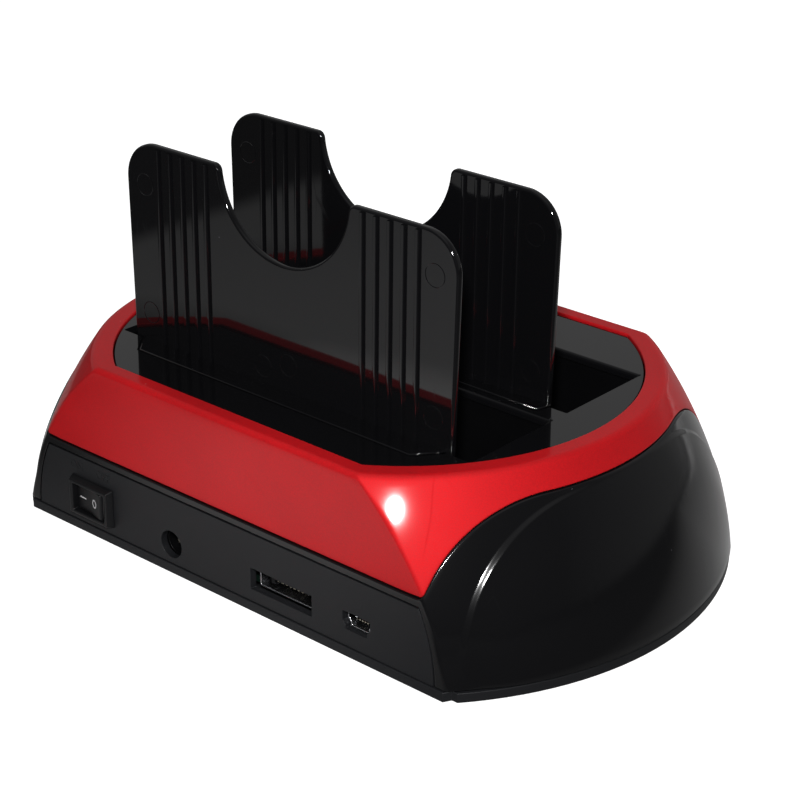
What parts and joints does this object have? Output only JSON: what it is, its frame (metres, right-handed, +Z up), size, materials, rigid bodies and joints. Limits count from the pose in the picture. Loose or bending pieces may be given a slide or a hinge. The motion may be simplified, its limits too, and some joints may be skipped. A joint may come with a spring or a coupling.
{
  "type": "hard drive docking station",
  "caption": "Desktop docking station that stands bare drives on end in open slots against upright plates, with a rocker switch, power inlet and data sockets at the rear.",
  "frame": {"origin": "middle of the footprint, on the surface that the feet stand on", "axes": "+X to the right as seen from the rear, along the long side; +Y from the rear panel to the front panel; +Z up"},
  "size_m": [0.1802, 0.1132, 0.0962],
  "materials": {
    "red_gloss": "pearl gloss",
    "piano_black": "high gloss",
    "charcoal": "fine satin texture",
    "socket_black": "satin",
    "foot_rubber": "matte",
    "screw_steel": "zinc plated",
    "bright_shell": "nickel plated",
    "contact_metal": "plated",
    "board_green": "solder mask",
    "chip_black": "matte",
    "capacitor_sleeve": "satin sleeve",
    "can_metal": "satin",
    "light_clear": "clear"
  },
  "bodies": {
    "dock": {"base_plate": "charcoal", "rubber_feet": "foot_rubber", "base_screws": "screw_steel", "lower_housing": "piano_black", "top_shell": "red_gloss", "top_deck": "piano_black", "rear_bay_well": "socket_black", "front_bay_well": "socket_black", "rear_panel": "charcoal", "front_panel": "charcoal", "switch_housing": "socket_black", "switch_terminals": "contact_metal", "inlet_body": "socket_black", "inlet_contacts": "contact_metal", "wide_socket_shell": "bright_shell", "wide_socket_tongue": "socket_black", "small_socket_shell": "bright_shell", "small_socket_tongue": "socket_black", "main_board": "board_green", "board_screws": "screw_steel", "rear_drive_socket": "socket_black", "front_drive_socket": "socket_black", "bridge_chips": "chip_black", "capacitors": "capacitor_sleeve", "inductors": "chip_black", "crystals": "can_metal", "status_leds": "light_clear", "light_pipes": "light_clear", "button_switch": "socket_black"},
    "rocker": {"switch_rocker": "socket_black"},
    "rear_support": {"rear_drive_support": "piano_black"},
    "front_support": {"front_drive_support": "piano_black"},
    "button": {"backup_button": "socket_black"}
  },
  "joints": [
    {"name": "switch_rock", "type": "hinge", "parent": "dock", "child": "rocker", "pos_m": [-0.04458, -0.05328, 0.0102], "axis": [0, 0, 1], "range_deg": [0, 16]},
    {"name": "rear_support_lift", "type": "slide", "parent": "dock", "child": "rear_support", "axis": [0, 0, 1], "range_m": [0, 0.025]},
    {"name": "front_support_lift", "type": "slide", "parent": "dock", "child": "front_support", "axis": [0, 0, 1], "range_m": [0, 0.025]},
    {"name": "backup_press", "type": "slide", "parent": "dock", "child": "button", "axis": [0, -1, 0], "range_m": [0, 0.0008], "stiffness_N_per_m": 800}
  ]
}
